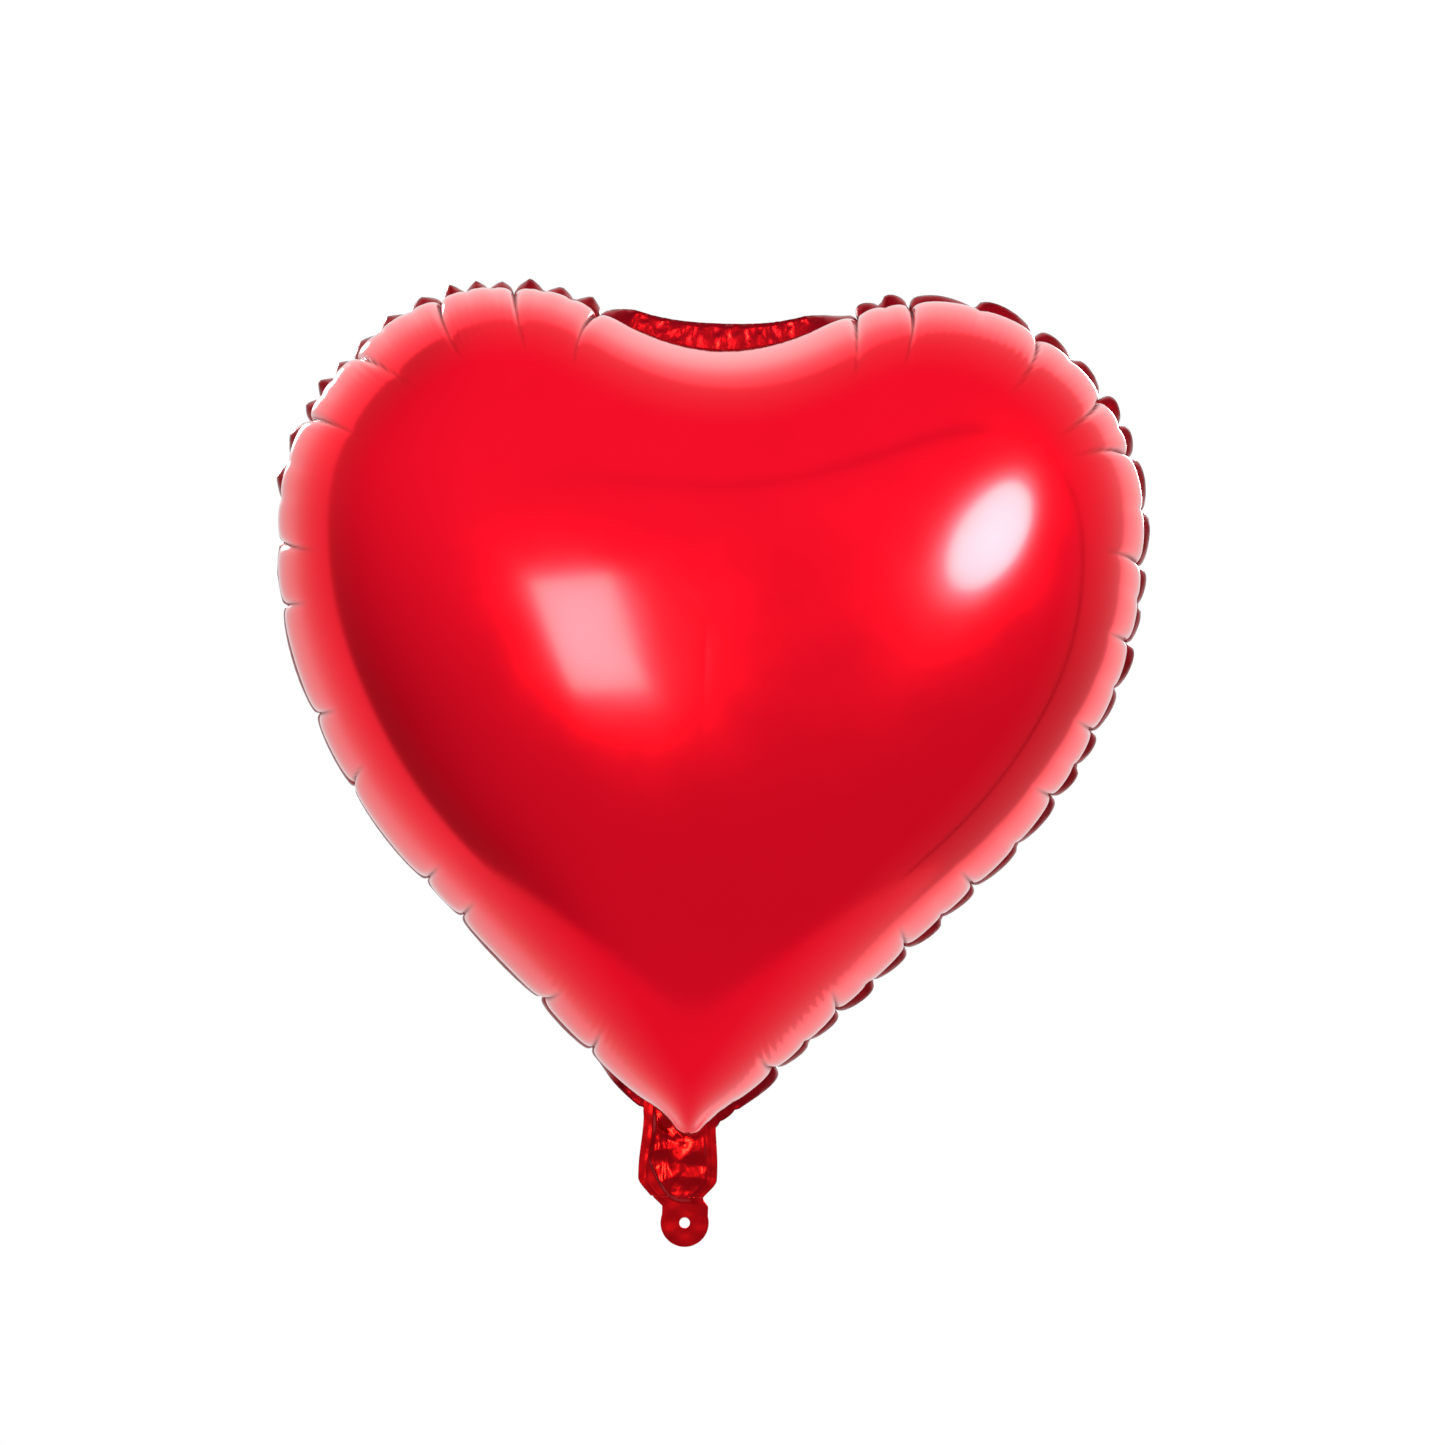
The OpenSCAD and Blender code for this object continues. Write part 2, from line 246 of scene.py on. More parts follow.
def seam_loop(heart, count=6000):
    """The seam from the front as (count, 2) points x, z at even spacing, with its whole length.

    It runs from the tip up the right side to the notch and down the left. Its half is a chain of
    tangent pieces: tip arc, straight edge, side arc, lobe arc, notch arc. The chain is mirrored,
    and a Gaussian along the arc then softens the joins, except at the tip."""
    lobe_x = heart.width / 2 - heart.lobe_r
    rise = heart.lobe_top_z - heart.tip_z
    # The straight edges meet at the apex, a little below the rounded tip.
    apex_drop = 0.0
    for _ in range(6):
        lobe_z = rise + apex_drop - heart.lobe_r
        far = math.hypot(lobe_x, lobe_z)
        reach = math.asin((heart.lobe_r + heart.side_belly) / far)
        slope = math.atan2(lobe_z, lobe_x) - reach
        apex_drop = heart.tip_r / math.cos(slope) - heart.tip_r
    along = np.array([math.cos(slope), math.sin(slope)])
    inward = np.array([-along[1], along[0]])
    straight = far * math.cos(reach) - math.sqrt(
        heart.side_belly * (2 * heart.side_r - 2 * heart.lobe_r - heart.side_belly))
    tip_c = np.array([0, heart.tip_r / along[0]])
    side_c = straight * along + heart.side_r * inward
    lobe_c = np.array([lobe_x, lobe_z])
    notch_c = np.array([0, lobe_z + math.sqrt((heart.lobe_r + heart.notch_r) ** 2 - lobe_x ** 2)])
    side_end = math.atan2(*(lobe_c - side_c)[::-1])
    lobe_end = math.atan2(*(notch_c - lobe_c)[::-1])

    def arc(centre, radius, start, stop):
        turn = np.linspace(start, stop, 500)[:, None]
        return centre + radius * np.hstack([np.cos(turn), np.sin(turn)])

    half = np.vstack([
        arc(tip_c, heart.tip_r, -np.pi / 2, slope - np.pi / 2),
        arc(side_c, heart.side_r, slope - np.pi / 2, side_end),
        arc(lobe_c, heart.lobe_r, side_end, lobe_end)[1:],
        arc(notch_c, heart.notch_r, lobe_end - np.pi, -np.pi / 2)[1:],
    ])
    loop = np.vstack([half, half[-2::-1] * [-1, 1]])
    loop[:, 1] += heart.tip_z - apex_drop
    run = np.concatenate([[0], np.cumsum(np.hypot(*np.diff(loop, axis=0).T))])
    even = np.linspace(0, run[-1], count, endpoint=False)
    loop = np.interp(even, run, loop[:, 0]) + 1j * np.interp(even, run, loop[:, 1])
    wave = np.fft.fftfreq(count, run[-1] / count)
    soft = np.fft.ifft(np.fft.fft(loop) * np.exp(-2 * (np.pi * heart.soften * wave) ** 2))
    loop = loop + (soft - loop) * smooth_step((np.minimum(even, run[-1] - even) - 0.015) / 0.03)
    step = np.roll(loop, -1) - np.roll(loop, 1)
    from_notch = np.abs(even - run[-1] / 2)
    offset = heart.seam_out - heart.notch_in * np.exp(-(from_notch / 0.055) ** 2)
    # Near the tip the film is gathered: the seam is drawn in at both sides of a rounded end.
    from_tip = np.minimum(even, run[-1] - even)
    offset *= smooth_step(from_tip / 0.03)
    for side, place, half_w, shift in SEAM_SHIFTS:
        apart = even - (place * MM if side > 0 else run[-1] - place * MM)
        offset += shift * MM * np.exp(-(apart / (half_w * MM)) ** 2)
    offset += heart.tip_out * np.exp(-(from_tip / 0.007) ** 2)
    offset -= heart.tip_in * np.exp(-((from_tip - 0.020) / 0.010) ** 2)
    loop = loop - 1j * step / np.abs(step) * offset
    return np.stack([loop.real, loop.imag], -1), run[-1]


def seam_at(loop, total, arc):
    """Points and outward unit normals of the seam at the given arcs."""
    count = len(loop)
    grid = np.arange(count + 1) * total / count
    closed = np.vstack([loop, loop[:1]])
    step = (np.roll(loop, -1, 0) - np.roll(loop, 1, 0))
    out = np.stack([step[:, 1], -step[:, 0]], -1) / np.hypot(*step.T)[:, None]
    out = np.vstack([out, out[:1]])
    arc = arc % total
    points = np.stack([np.interp(arc, grid, closed[:, k]) for k in (0, 1)], -1)
    normals = np.stack([np.interp(arc, grid, out[:, k]) for k in (0, 1)], -1)
    return points, normals / np.hypot(*normals.T)[:, None]


def side_folds(fold, half, side):
    """Folds of one side as rows arc, depth, reach and rim share, from the tip up.

    The deep folds are evenly spaced, and each strays by a random share of the spacing. Their depth
    and reach grow in a smooth S from the straight edge to the lobe. Small folds divide the gaps
    evenly: one in each on the right, two on the left lobe and none on the left edge. Three more
    small ones gather the tip. The share is a random draw between the side's least and most."""
    rng = np.random.default_rng(fold.pattern + side)
    gap = (half - fold.bare_notch - fold.first_fold) / (fold.deep_folds - 1)
    stray = rng.uniform(-fold.wander, fold.wander, fold.deep_folds)
    places = fold.first_fold + gap * (np.arange(fold.deep_folds) + stray)
    lobe = smooth_step((np.linspace(0, 1, fold.deep_folds) - 0.45) / 0.3)
    depths = fold.edge_depth + (fold.lobe_depth - fold.edge_depth) * lobe
    reaches = fold.edge_reach + (fold.lobe_reach - fold.edge_reach) * lobe
    rows = list(zip(places, depths, reaches, lobe))
    for low, high, on_lobe in zip(places, places[1:], lobe[1:]):
        number = 1 if side > 0 else 2 * round(on_lobe)
        for part in range(1, number + 1):
            place = low + (high - low) * part / (number + 1)
            rows.append((place, fold.small_depth, fold.small_reach, on_lobe))
    rows += [(0.008 * part, fold.small_depth, fold.small_reach, 0.0) for part in (1, 2, 3)]
    rows.sort()
    on_edge, on_top = RIM_SHOWS[side]
    draws = rng.uniform(0, 1, len(rows))
    for index, (place, depth, reach, on_lobe) in enumerate(rows):
        least, most = on_top if on_lobe > 0.5 else on_edge
        rows[index] = (place, depth, reach, least + (most - least) * draws[index])
    return rows


def fold_table(fold, total):
    """Every fold as rows arc, depth, reach, rim share, in metres, in order round the whole seam."""
    right = side_folds(fold, total / 2, 1)
    # Across the notch the whole rim shows.
    right[-1] = (*right[-1][:3], 1.0)
    # Going up the left side the share belongs to the stretch above a fold, and the loop runs down
    # it, so each share moves on to the fold above.
    below = side_folds(fold, total / 2, -1)[::-1]
    shares = [share for *_, share in below][1:] + [0.9]
    left = [(total - arc, depth, reach, share) for (arc, depth, reach, _), share in zip(below, shares)]
    return np.array(right + left)


def soap_film(loop, total, x, z):
    """Height field of a soap film blown up over the seam, from 0 at the seam to 1 at its highest.

    The film's equation is that its curvature is the same everywhere and its height 0 on the seam.
    Its solution is written as minus a quarter of the squared distance from the middle, plus a sum
    of logarithms of the distance to points outside the seam. Least squares finds their weights."""
    middle = loop.mean(0)
    ring, out = seam_at(loop, total, np.arange(240) * total / 240)
    sources = ring + 0.016 * out
    edge, _ = seam_at(loop, total, np.arange(720) * total / 720)

    def rows(points):
        gap = points[:, None, :] - sources[None, :, :]
        return np.hstack([0.5 * np.log((gap ** 2).sum(-1)), np.ones((len(points), 1))])

    weights = np.linalg.lstsq(rows(edge), ((edge - middle) ** 2).sum(-1) / 4, rcond=1e-10)[0]
    points = np.stack([x.ravel(), z.ravel()], -1)
    height = rows(points) @ weights - ((points - middle) ** 2).sum(-1) / 4
    height = np.clip(height.reshape(x.shape), 0, None)
    return height / height.max()


def smooth_distance(loop, total, x, z, rim):
    """Distance from the seam without a ridge in the middle: the integral along the seam of the
    distance to the power -5, to the power -1/4, scaled to be right beside a straight seam. Within a
    few millimetres of the seam the distance to the column's own start is taken instead."""
    seam, _ = seam_at(loop, total, np.arange(1216) * total / 1216)
    inner = np.empty_like(x)
    for row in range(len(x)):
        square = (x[row][:, None] - seam[None, :, 0]) ** 2 + (z[row][:, None] - seam[None, :, 1]) ** 2
        inner[row] = (np.maximum(square, 1e-8) ** -2.5).sum(1) * total / 1216
    inner = (4 / 3 / inner) ** 0.25
    near = np.hypot(x - rim[:, 0], z - rim[:, 1])
    return near + (inner - near) * smooth_step((near - 0.002) / 0.005)


def column_arcs(heart, folds, total):
    """Arcs of the mesh columns, closer together at the folds: even steps of a running weight."""
    arc = np.linspace(0, total, 12000)
    apart = np.abs((arc[:, None] - folds[None, :, 0] + total / 2) % total - total / 2)
    weight = 1 + (3.2 * np.exp(-apart / 0.0025) * (folds[None, :, 1] > 0.001)).sum(1)
    run = np.concatenate([[0], np.cumsum((weight[1:] + weight[:-1]) / 2)])
    return np.interp(np.arange(heart.columns) * run[-1] / heart.columns, run, arc)


def seam_sway(arc, folds, total, size):
    """How far the seam lies to the rear of its plane: a push at each fold, by turns each way."""
    apart = (arc[:, None] - folds[None, :, 0] + total / 2) % total - total / 2
    sign = np.where(np.arange(len(folds)) % 2, 1.0, -0.7)
    push = sign * np.clip(folds[:, 1] / 0.002, 0, 1.1)
    return size * (push * np.exp(-(apart / 0.009) ** 2)).sum(1)


# ---------------------------------------------------------------- the two panels

def heart_dome(heart, fold, side):
    """The smooth panel as (rings, columns, 3) points and normals, the length of film from the seam
    to each point, the arc of each column and the seam's whole length.

    Each column leaves the seam at a right angle and bends towards the middle: a quadratic curve.
    Its height is a tight roll along the seam plus a soap film's swell. The roll is its height times
    (1 - exp(-2 distance / width)) ^ 1/2, and the swell is 1 - (1 - film) ^ flatness. The roll is
    narrower at the tip and in the notch."""
    loop, total = seam_loop(heart)
    arc = column_arcs(heart, fold_table(fold, total), total)
    rim, out = seam_at(loop, total, arc)
    middle = np.array([0, heart.tip_z + 0.62 * (heart.lobe_top_z - heart.tip_z)])
    from_tip = np.minimum(arc, total - arc)
    lead = 0.060 * (1 - np.exp(-(from_tip / 0.090) ** 1.5))
    t = (np.arange(heart.rings) / (heart.rings - 1)) ** 2.0
    t = t[:, None, None]
    flat = (1 - t) ** 2 * rim + 2 * t * (1 - t) * (rim - lead[:, None] * out) + t ** 2 * middle
    x, z = flat[..., 0], flat[..., 1]
    film = soap_film(loop, total, x, z)
    film[0] = 0
    apart = smooth_distance(loop, total, x, z, rim)
    width = heart.roll_w * (1 - 0.15 * np.exp(-(from_tip / 0.05) ** 2)
                            - 0.25 * np.exp(-((total / 2 - from_tip) / 0.10) ** 2))
    y = heart.roll_h * np.sqrt(1 - np.exp(-2 * apart / width[None, :]))
    y += (heart.depth / 2 - heart.roll_h) * (1 - (1 - film) ** heart.flatness)
    surface = np.stack([x, side * y, z], -1)
    across = np.roll(surface, -1, 1) - np.roll(surface, 1, 1)
    inward = np.gradient(surface, axis=0)
    normal = side * np.cross(inward, across)
    normal[0] = np.concatenate([out[:, :1], 0 * out[:, :1], out[:, 1:]], 1)
    normal[-1] = [0, side, 0]
    normal /= np.maximum(np.linalg.norm(normal, axis=-1, keepdims=True), 1e-12)
    way = np.cumsum(np.linalg.norm(np.diff(surface, axis=0, prepend=surface[:1]), axis=-1), 0)
    return surface, normal, way, arc, total


def puckered_panel(heart, fold, side):
    """Points of a panel as (rings, columns, 3), from the seam to the middle, and how much painted
    shade each gets along the bottom of a fold, 0 to 1.

    Each fold pushes the smooth panel in along its normal, by the fold's depth times two cusps
    exp(-|distance| / width), a sharp one and a broad one, that fade away from the seam. Between
    folds the film swells out past the seam, most at 14 mm from it: (way / 14) exp(1/2 - way ^ 2 / 392)."""
    surface, normal, way, arc, total = heart_dome(heart, fold, side)
    folds = fold_table(fold, total)

    # Both panels share each fold at the seam; further in, the rear one has its own reach.
    rng = np.random.default_rng(7)
    own = rng.uniform(0.75, 1.3, len(folds)) if side > 0 else np.ones(len(folds))
    slant = rng.uniform(-0.16, 0.16, len(folds))
    push = np.zeros_like(way)
    held = np.zeros_like(way)
    painted_shade = np.zeros_like(way)
    for (place, deep, reach, _), longer, lean in zip(folds, own, slant):
        apart = (arc - place + total / 2) % total - total / 2
        apart = apart[None, :] - lean * way
        fade = smooth_step(1.25 - way / (fold.reach * reach * longer))
        sharp = np.sqrt(apart ** 2 + (0.25 * fold.pinch_w) ** 2) / (fold.pinch_w * (1 + way / 0.05))
        broad = np.sqrt(apart ** 2 + (0.12 * fold.pillow_w) ** 2) / (fold.pillow_w * (1 + way / 0.04))
        push += deep * fade * (fold.pinch * np.exp(-sharp) + fold.pillow * np.exp(-broad))
        # Painted shade: a narrow band along each fold's line, strongest at the deep folds, which the film's
        # material darkens.
        painted_shade += np.clip(deep / 0.0015, 0, 1) * fade ** 0.5 * np.exp(-(apart / fold.shade_line_w) ** 2)
        held += np.clip(deep / 0.0018, 0, 1) * np.exp(-np.abs(apart) / 0.0035)
    from_tip = np.minimum(arc, total - arc)
    for place, half_w, tall in (LOBE_RIPPLES, TIP_RIPPLES):
        patch = np.exp(-((from_tip - place) / half_w) ** 2)[None, :] * np.exp(-((way - 0.036) / 0.016) ** 2)
        push += tall * patch * (1 + np.sin(2 * np.pi * from_tip / fold.ripple_pitch))[None, :]
    swell = fold.bulge * smooth_step((from_tip - 0.01) / 0.05)[None, :] * (1 - np.clip(held, 0, 1))
    push -= swell * way / 0.014 * np.exp(0.5 - 0.5 * (way / 0.014) ** 2)
    push[0] = np.minimum(push[0], 0.0042)
    surface = surface - push[..., None] * normal
    surface[..., 1] += seam_sway(arc, folds, total, fold.sway)[None, :] * np.exp(-(way / 0.022) ** 2)
    return surface, np.clip(painted_shade, 0, 1)


def make_panel(name, side):
    """One panel of the heart, with the film's thickness, riding on the balloon's body."""
    scene = bpy.context.scene
    heart, fold = scene.heart_sizes, scene.fold_sizes
    surface, painted_shade = puckered_panel(heart, fold, side)
    rings, columns, _ = surface.shape
    points = np.vstack([surface[:-1].reshape(-1, 3), surface[-1, 0][None]])
    faces = grid_faces(rings - 1, columns, wrap=True)
    pole = len(points) - 1
    last = (rings - 2) * columns + np.arange(columns)
    cap = np.stack([last, np.roll(last, -1), np.full(columns, pole), np.full(columns, pole)], -1)
    if side > 0:
        faces, cap = faces[:, ::-1], cap[:, [1, 0, 2, 3]]
    quads = faces.tolist() + [c[:3] for c in cap.tolist()]
    mesh = bpy.data.meshes.new(name)
    mesh.from_pydata(points.tolist(), [], quads)
    mesh.polygons.foreach_set("use_smooth", np.full(len(mesh.polygons), True))
    # Painted shade along the bottom of each fold, kept on the points for the film's material to darken.
    shaded = mesh.attributes.new("painted_fold_shade", "FLOAT", "POINT")
    shaded.data.foreach_set("value", np.concatenate([painted_shade[:-1].ravel(), [0]]).astype(np.float32))
    mesh.update()
    piece = bpy.data.objects.new(name, mesh)
    scene.collection.objects.link(piece)
    wall = piece.modifiers.new("Film", "SOLIDIFY")
    wall.thickness = heart.film
    wall.offset = -1
    piece.data.materials.append(foil_material())
    return piece


# ---------------------------------------------------------------- the rim

def rim_strip(heart, fold):
    """Points of the rim as (rows, columns, 3) from the seam outward, and each column's outward way.

    Between two folds the strip swings back by the angle whose cosine is the share that shows, and
    the share swells and dies away over the stretch as t ^ a times (1 - t) ^ b. Small zigzags along
    the strip crumple it."""
    loop, total = seam_loop(heart)
    folds = fold_table(fold, total)
    arc = column_arcs(heart, folds, total)
    rim, out = seam_at(loop, total, arc)
    index = np.searchsorted(folds[:, 0], arc, side="right") - 1
    start = folds[index, 0]
    stop = np.roll(folds[:, 0], -1)[index]
    t = ((arc - start) % total) / ((stop - start) % total)
    share = folds[index, 3]
    half = total / 2
    on_right = arc < half
    rise, fall = np.where(on_right, 0.8, 0.55), np.where(on_right, 0.35, 0.55)
    peak = (rise / (rise + fall)) ** rise * (fall / (rise + fall)) ** fall
    swell = t ** rise * (1 - t) ** fall / peak
    # On the left lobe the strip stands up in points instead.
    pointed = smooth_step((arc - half - 0.03) / 0.01) * smooth_step((total - 0.30 - arc) / 0.02)
    swell = swell + pointed * (1 - np.abs(2 * t - 1) - swell)
    in_notch = smooth_step((0.062 - np.abs(arc - half)) / 0.02)
    from_tip = np.minimum(arc, total - arc)
    at_tip = smooth_step((np.where(on_right, 0.046, 0.054) - from_tip) / 0.022)
    whole = np.maximum(in_notch, at_tip)
    showing = np.clip(share * swell * (1 - whole) + whole, 0, 1)
    wide = fold.rim_w + (fold.rim_notch_w - fold.rim_w) * np.exp(-((arc - half) / 0.042) ** 2)
    wide = wide * (1 - 0.42 * at_tip)
    back = np.arccos(showing * 0.999)
    v = np.linspace(0, 1, 7)[:, None]
    # The strip curls: it leaves the seam outward and bends back by its angle over its width.
    bend = back[None, :] * (0.45 + 0.55 * v)
    step_out = np.cos(bend) * wide / 6
    step_back = np.sin(bend) * wide / 6
    reach = np.cumsum(np.vstack([0 * step_out[:1], step_out[1:]]), 0)
    behind = np.cumsum(np.vstack([0 * step_back[:1], step_back[1:]]), 0)
    sway = seam_sway(arc, folds, total, fold.sway)
    apart = np.abs((arc[:, None] - folds[None, :, 0] + half) % total - half)
    nip = (folds[:, 1] * (fold.pinch * np.exp(-apart / fold.pinch_w)
                          + fold.pillow * np.exp(-apart / fold.pillow_w))).sum(1)
    nip = np.minimum(nip, 0.0042)
    flat = rim[None] + (reach - nip[None, :] - 0.0004)[..., None] * out[None]
    wrinkle = fold.crumple * v ** 0.7 * facets(arc[None, :] + 0 * v, v * wide * 1.3, 0.006, 11)
    wrinkle *= (1 + 1.6 * in_notch) * smooth_step((from_tip - 0.012) / 0.02)
    y = sway[None, :] + behind + wrinkle
    return np.stack([flat[..., 0], y, flat[..., 1]], -1), arc


def make_rim(name):
    """The heat-sealed rim: a ruffled strip with its own thickness."""
    scene = bpy.context.scene
    strip, _ = rim_strip(scene.heart_sizes, scene.fold_sizes)
    rows, columns, _ = strip.shape
    piece = add_mesh(name, strip.reshape(-1, 3), grid_faces(rows, columns, wrap=True)[:, ::-1])
    wall = piece.modifiers.new("Fused film", "SOLIDIFY")
    wall.thickness = scene.fold_sizes.rim_t
    wall.offset = 0
    piece.data.materials.append(seal_material())
    return piece


# ---------------------------------------------------------------- tail and tab

def tail_half_width(z):
    """Half width of the tail at height z: waist, round shoulder, straight side, flare to the rim."""
    waist_z, neck_z = TAB[1].z, TAIL[1].z
    shoulder = smooth_step((z - waist_z) / 0.012)
    narrow = smooth_step((z - waist_z - 0.016) / (neck_z - waist_z - 0.008))
    flare = np.clip((z - neck_z - 0.008) / 0.014, 0, 1) ** 2
    return (WAIST_HALF + (POUCH_HALF - WAIST_HALF) * shoulder - (POUCH_HALF - NECK_HALF) * narrow
            + FLARE * flare)


def tail_lean(z):
    """The tail's middle line: it stands a little to the left of the tab."""
    waist_z, neck_z = TAB[1].z, TAIL[1].z
    return -0.0040 * smooth_step((z - waist_z + 0.001) / 0.005) * smooth_step((neck_z + 0.022 - z) / 0.012)


def tail_bulge(x, z, side):
    """Distance of the tail's film from its middle plane: thin along the sealed edges, a low crumpled
    pouch between them that ends in a round line above the waist."""
    waist_z = TAB[1].z
    half = tail_half_width(z)
    from_edge = half - np.abs(x - tail_lean(z))
    mouth = smooth_step((from_edge - 0.0036) / 0.0030)
    floor_z = waist_z + 0.0005 + 0.9 * np.clip(np.abs(x) - 0.002, 0, None) ** 2 / 0.012
    mouth = mouth * smooth_step((z - floor_z) / 0.0030)
    seed = 21 if side < 0 else 34
    crumple = facets(x, z, 0.019, seed, 4) + 0.28 * facets(x, z, 0.008, seed + 1)
    # Under the tip the film gathers in bent folds round it; beside the left edge they run upright.
    tip_z = TAIL[1].z + 0.004
    round_tip = np.hypot(x + 0.002, 1.25 * (z - tip_z - 0.008))
    gather = facets(0.3 * x, round_tip, 0.0065, seed + 3, 3) * smooth_step((0.022 - round_tip) / 0.009)
    upright = facets(x, 0.12 * z, 0.0044, seed + 4, 3) * smooth_step((-x - 0.0075) / 0.003)
    # On the upper right the film slopes away smoothly, pulled by the seam above it.
    slope = smooth_step((x + 0.002) / 0.010) * smooth_step((z - tip_z + 0.016) / 0.012)
    welt = 0.00010 * np.exp(-((from_edge - 0.0036) / 0.0005) ** 2)
    flat_part = 0.00020 + 0.00010 * value_noise(x, z, 0.012, seed + 2)
    pouch = 0.0013 + 0.00085 * crumple + 0.00045 * gather + 0.00020 * upright
    pouch = mouth * (pouch * (1 - 0.8 * slope) + 0.0022 * slope * np.clip(from_edge / 0.016, 0, 1))
    welt = welt * smooth_step((z - waist_z) / 0.004)
    return np.clip(flat_part, 0.00012, None) + np.clip(pouch, 0, None) + welt


def closed_pillow(name, x, z, front, rear, wrap=False):
    """A closed piece from a grid of places and the distances of its front and rear film from the
    middle plane. The two films are joined along every open edge of the grid."""
    rows, columns = x.shape
    count = rows * columns
    points = np.vstack([
        np.stack([x, -front, z], -1).reshape(-1, 3),
        np.stack([x, rear, z], -1).reshape(-1, 3),
    ])
    faces = grid_faces(rows, columns, wrap)
    place = np.arange(count).reshape(rows, columns)
    if wrap:
        loops = [place[0], place[-1][::-1]]
    else:
        loops = [np.concatenate([place[0], place[1:, -1], place[-1, -2::-1], place[-2:0:-1, 0]])]
    walls = []
    for ring in loops:
        after = np.roll(ring, -1)
        walls.append(np.stack([after, ring, ring + count, after + count], -1))
    every = np.vstack([faces, faces[:, ::-1] + count, *walls])
    piece = add_mesh(name, points, every)
    piece.data.polygons.foreach_set("use_smooth", np.arange(len(every)) < 2 * len(faces))
    return piece


def make_tail(name):
    """The tail from the split in its middle up into the neck, front and rear film closed as one."""
    split_z = TAB[1].z + 0.0035
    top_z = TAIL[1].z + 0.0215
    a = np.linspace(-1, 1, 150)[None, :]
    z = np.linspace(split_z, top_z, 150)[:, None] + 0 * a
    x = tail_lean(z) + a * tail_half_width(z)
    # Above the neck the film narrows to nothing in front and behind, inside the heart.
    thin = smooth_step((top_z - z) / 0.012) * 0.85 + 0.15
    piece = closed_pillow(name, x, z, tail_bulge(x, z, -1) * thin, tail_bulge(x, z, 1) * thin)
    piece.data.materials.append(tail_material())
    return piece


def make_tab(name):
    """The tab with its hole, and the tail up to the split: rays from the hole to the outline.

    The outline is found along each ray as the farthest point that is still in the round tab or
    within the tail's half width."""
    split_z = TAB[1].z + 0.0035
    radius = -TAB[0].z
    turn = np.linspace(0, 2 * np.pi, 360, endpoint=False)
    far = np.linspace(HOLE_R, 0.045, 1500)[:, None]
    px, pz = far * np.cos(turn), far * np.sin(turn)
    in_tab = far + 0 * px <= radius
    above = (pz > 0.3 * radius) & (pz <= split_z)
    in_tail = above & (np.abs(px - tail_lean(pz)) <= tail_half_width(np.maximum(pz, TAB[1].z - 0.002)))
    inside = in_tab | in_tail
    edge = far[inside.shape[0] - 1 - np.argmax(inside[::-1], axis=0), 0]
    kernel = np.exp(-np.linspace(-2, 2, 5) ** 2)
    edge = np.convolve(np.concatenate([edge[-2:], edge, edge[:2]]), kernel / kernel.sum(), "valid")
    edge = np.where(edge * np.sin(turn) > split_z, split_z / np.maximum(np.sin(turn), 0.3), edge)
    v = np.linspace(0, 1, 70)[:, None] ** 0.9
    r = HOLE_R + (edge[None, :] - HOLE_R) * v
    x, z = r * np.cos(turn), r * np.sin(turn)
    piece = closed_pillow(name, x, z, tail_bulge(x, z, -1), tail_bulge(x, z, 1), wrap=True)
    piece.data.materials.append(tail_material())
    return piece


# ---------------------------------------------------------------- materials

def add_node(tree, kind, place=(0, 0), settings=None, values=None, links=None):
    """Adds one node: settings are its own, values go to its sockets, and links come from others."""
    node = tree.nodes.new(kind)
    node.location = place
    for key, value in (settings or {}).items():
        setattr(node, key, value)
    for key, value in (values or {}).items():
        node.inputs[key].default_value = value
    for key, source in (links or {}).items():
        tree.links.new(source, node.inputs[key])
    return node


def new_material(name):
    """An empty node material, or None if it is already there."""
    if name in bpy.data.materials:
        return None
    material = bpy.data.materials.new(name)
    material.use_nodes = True
    material.node_tree.nodes.clear()
    return material


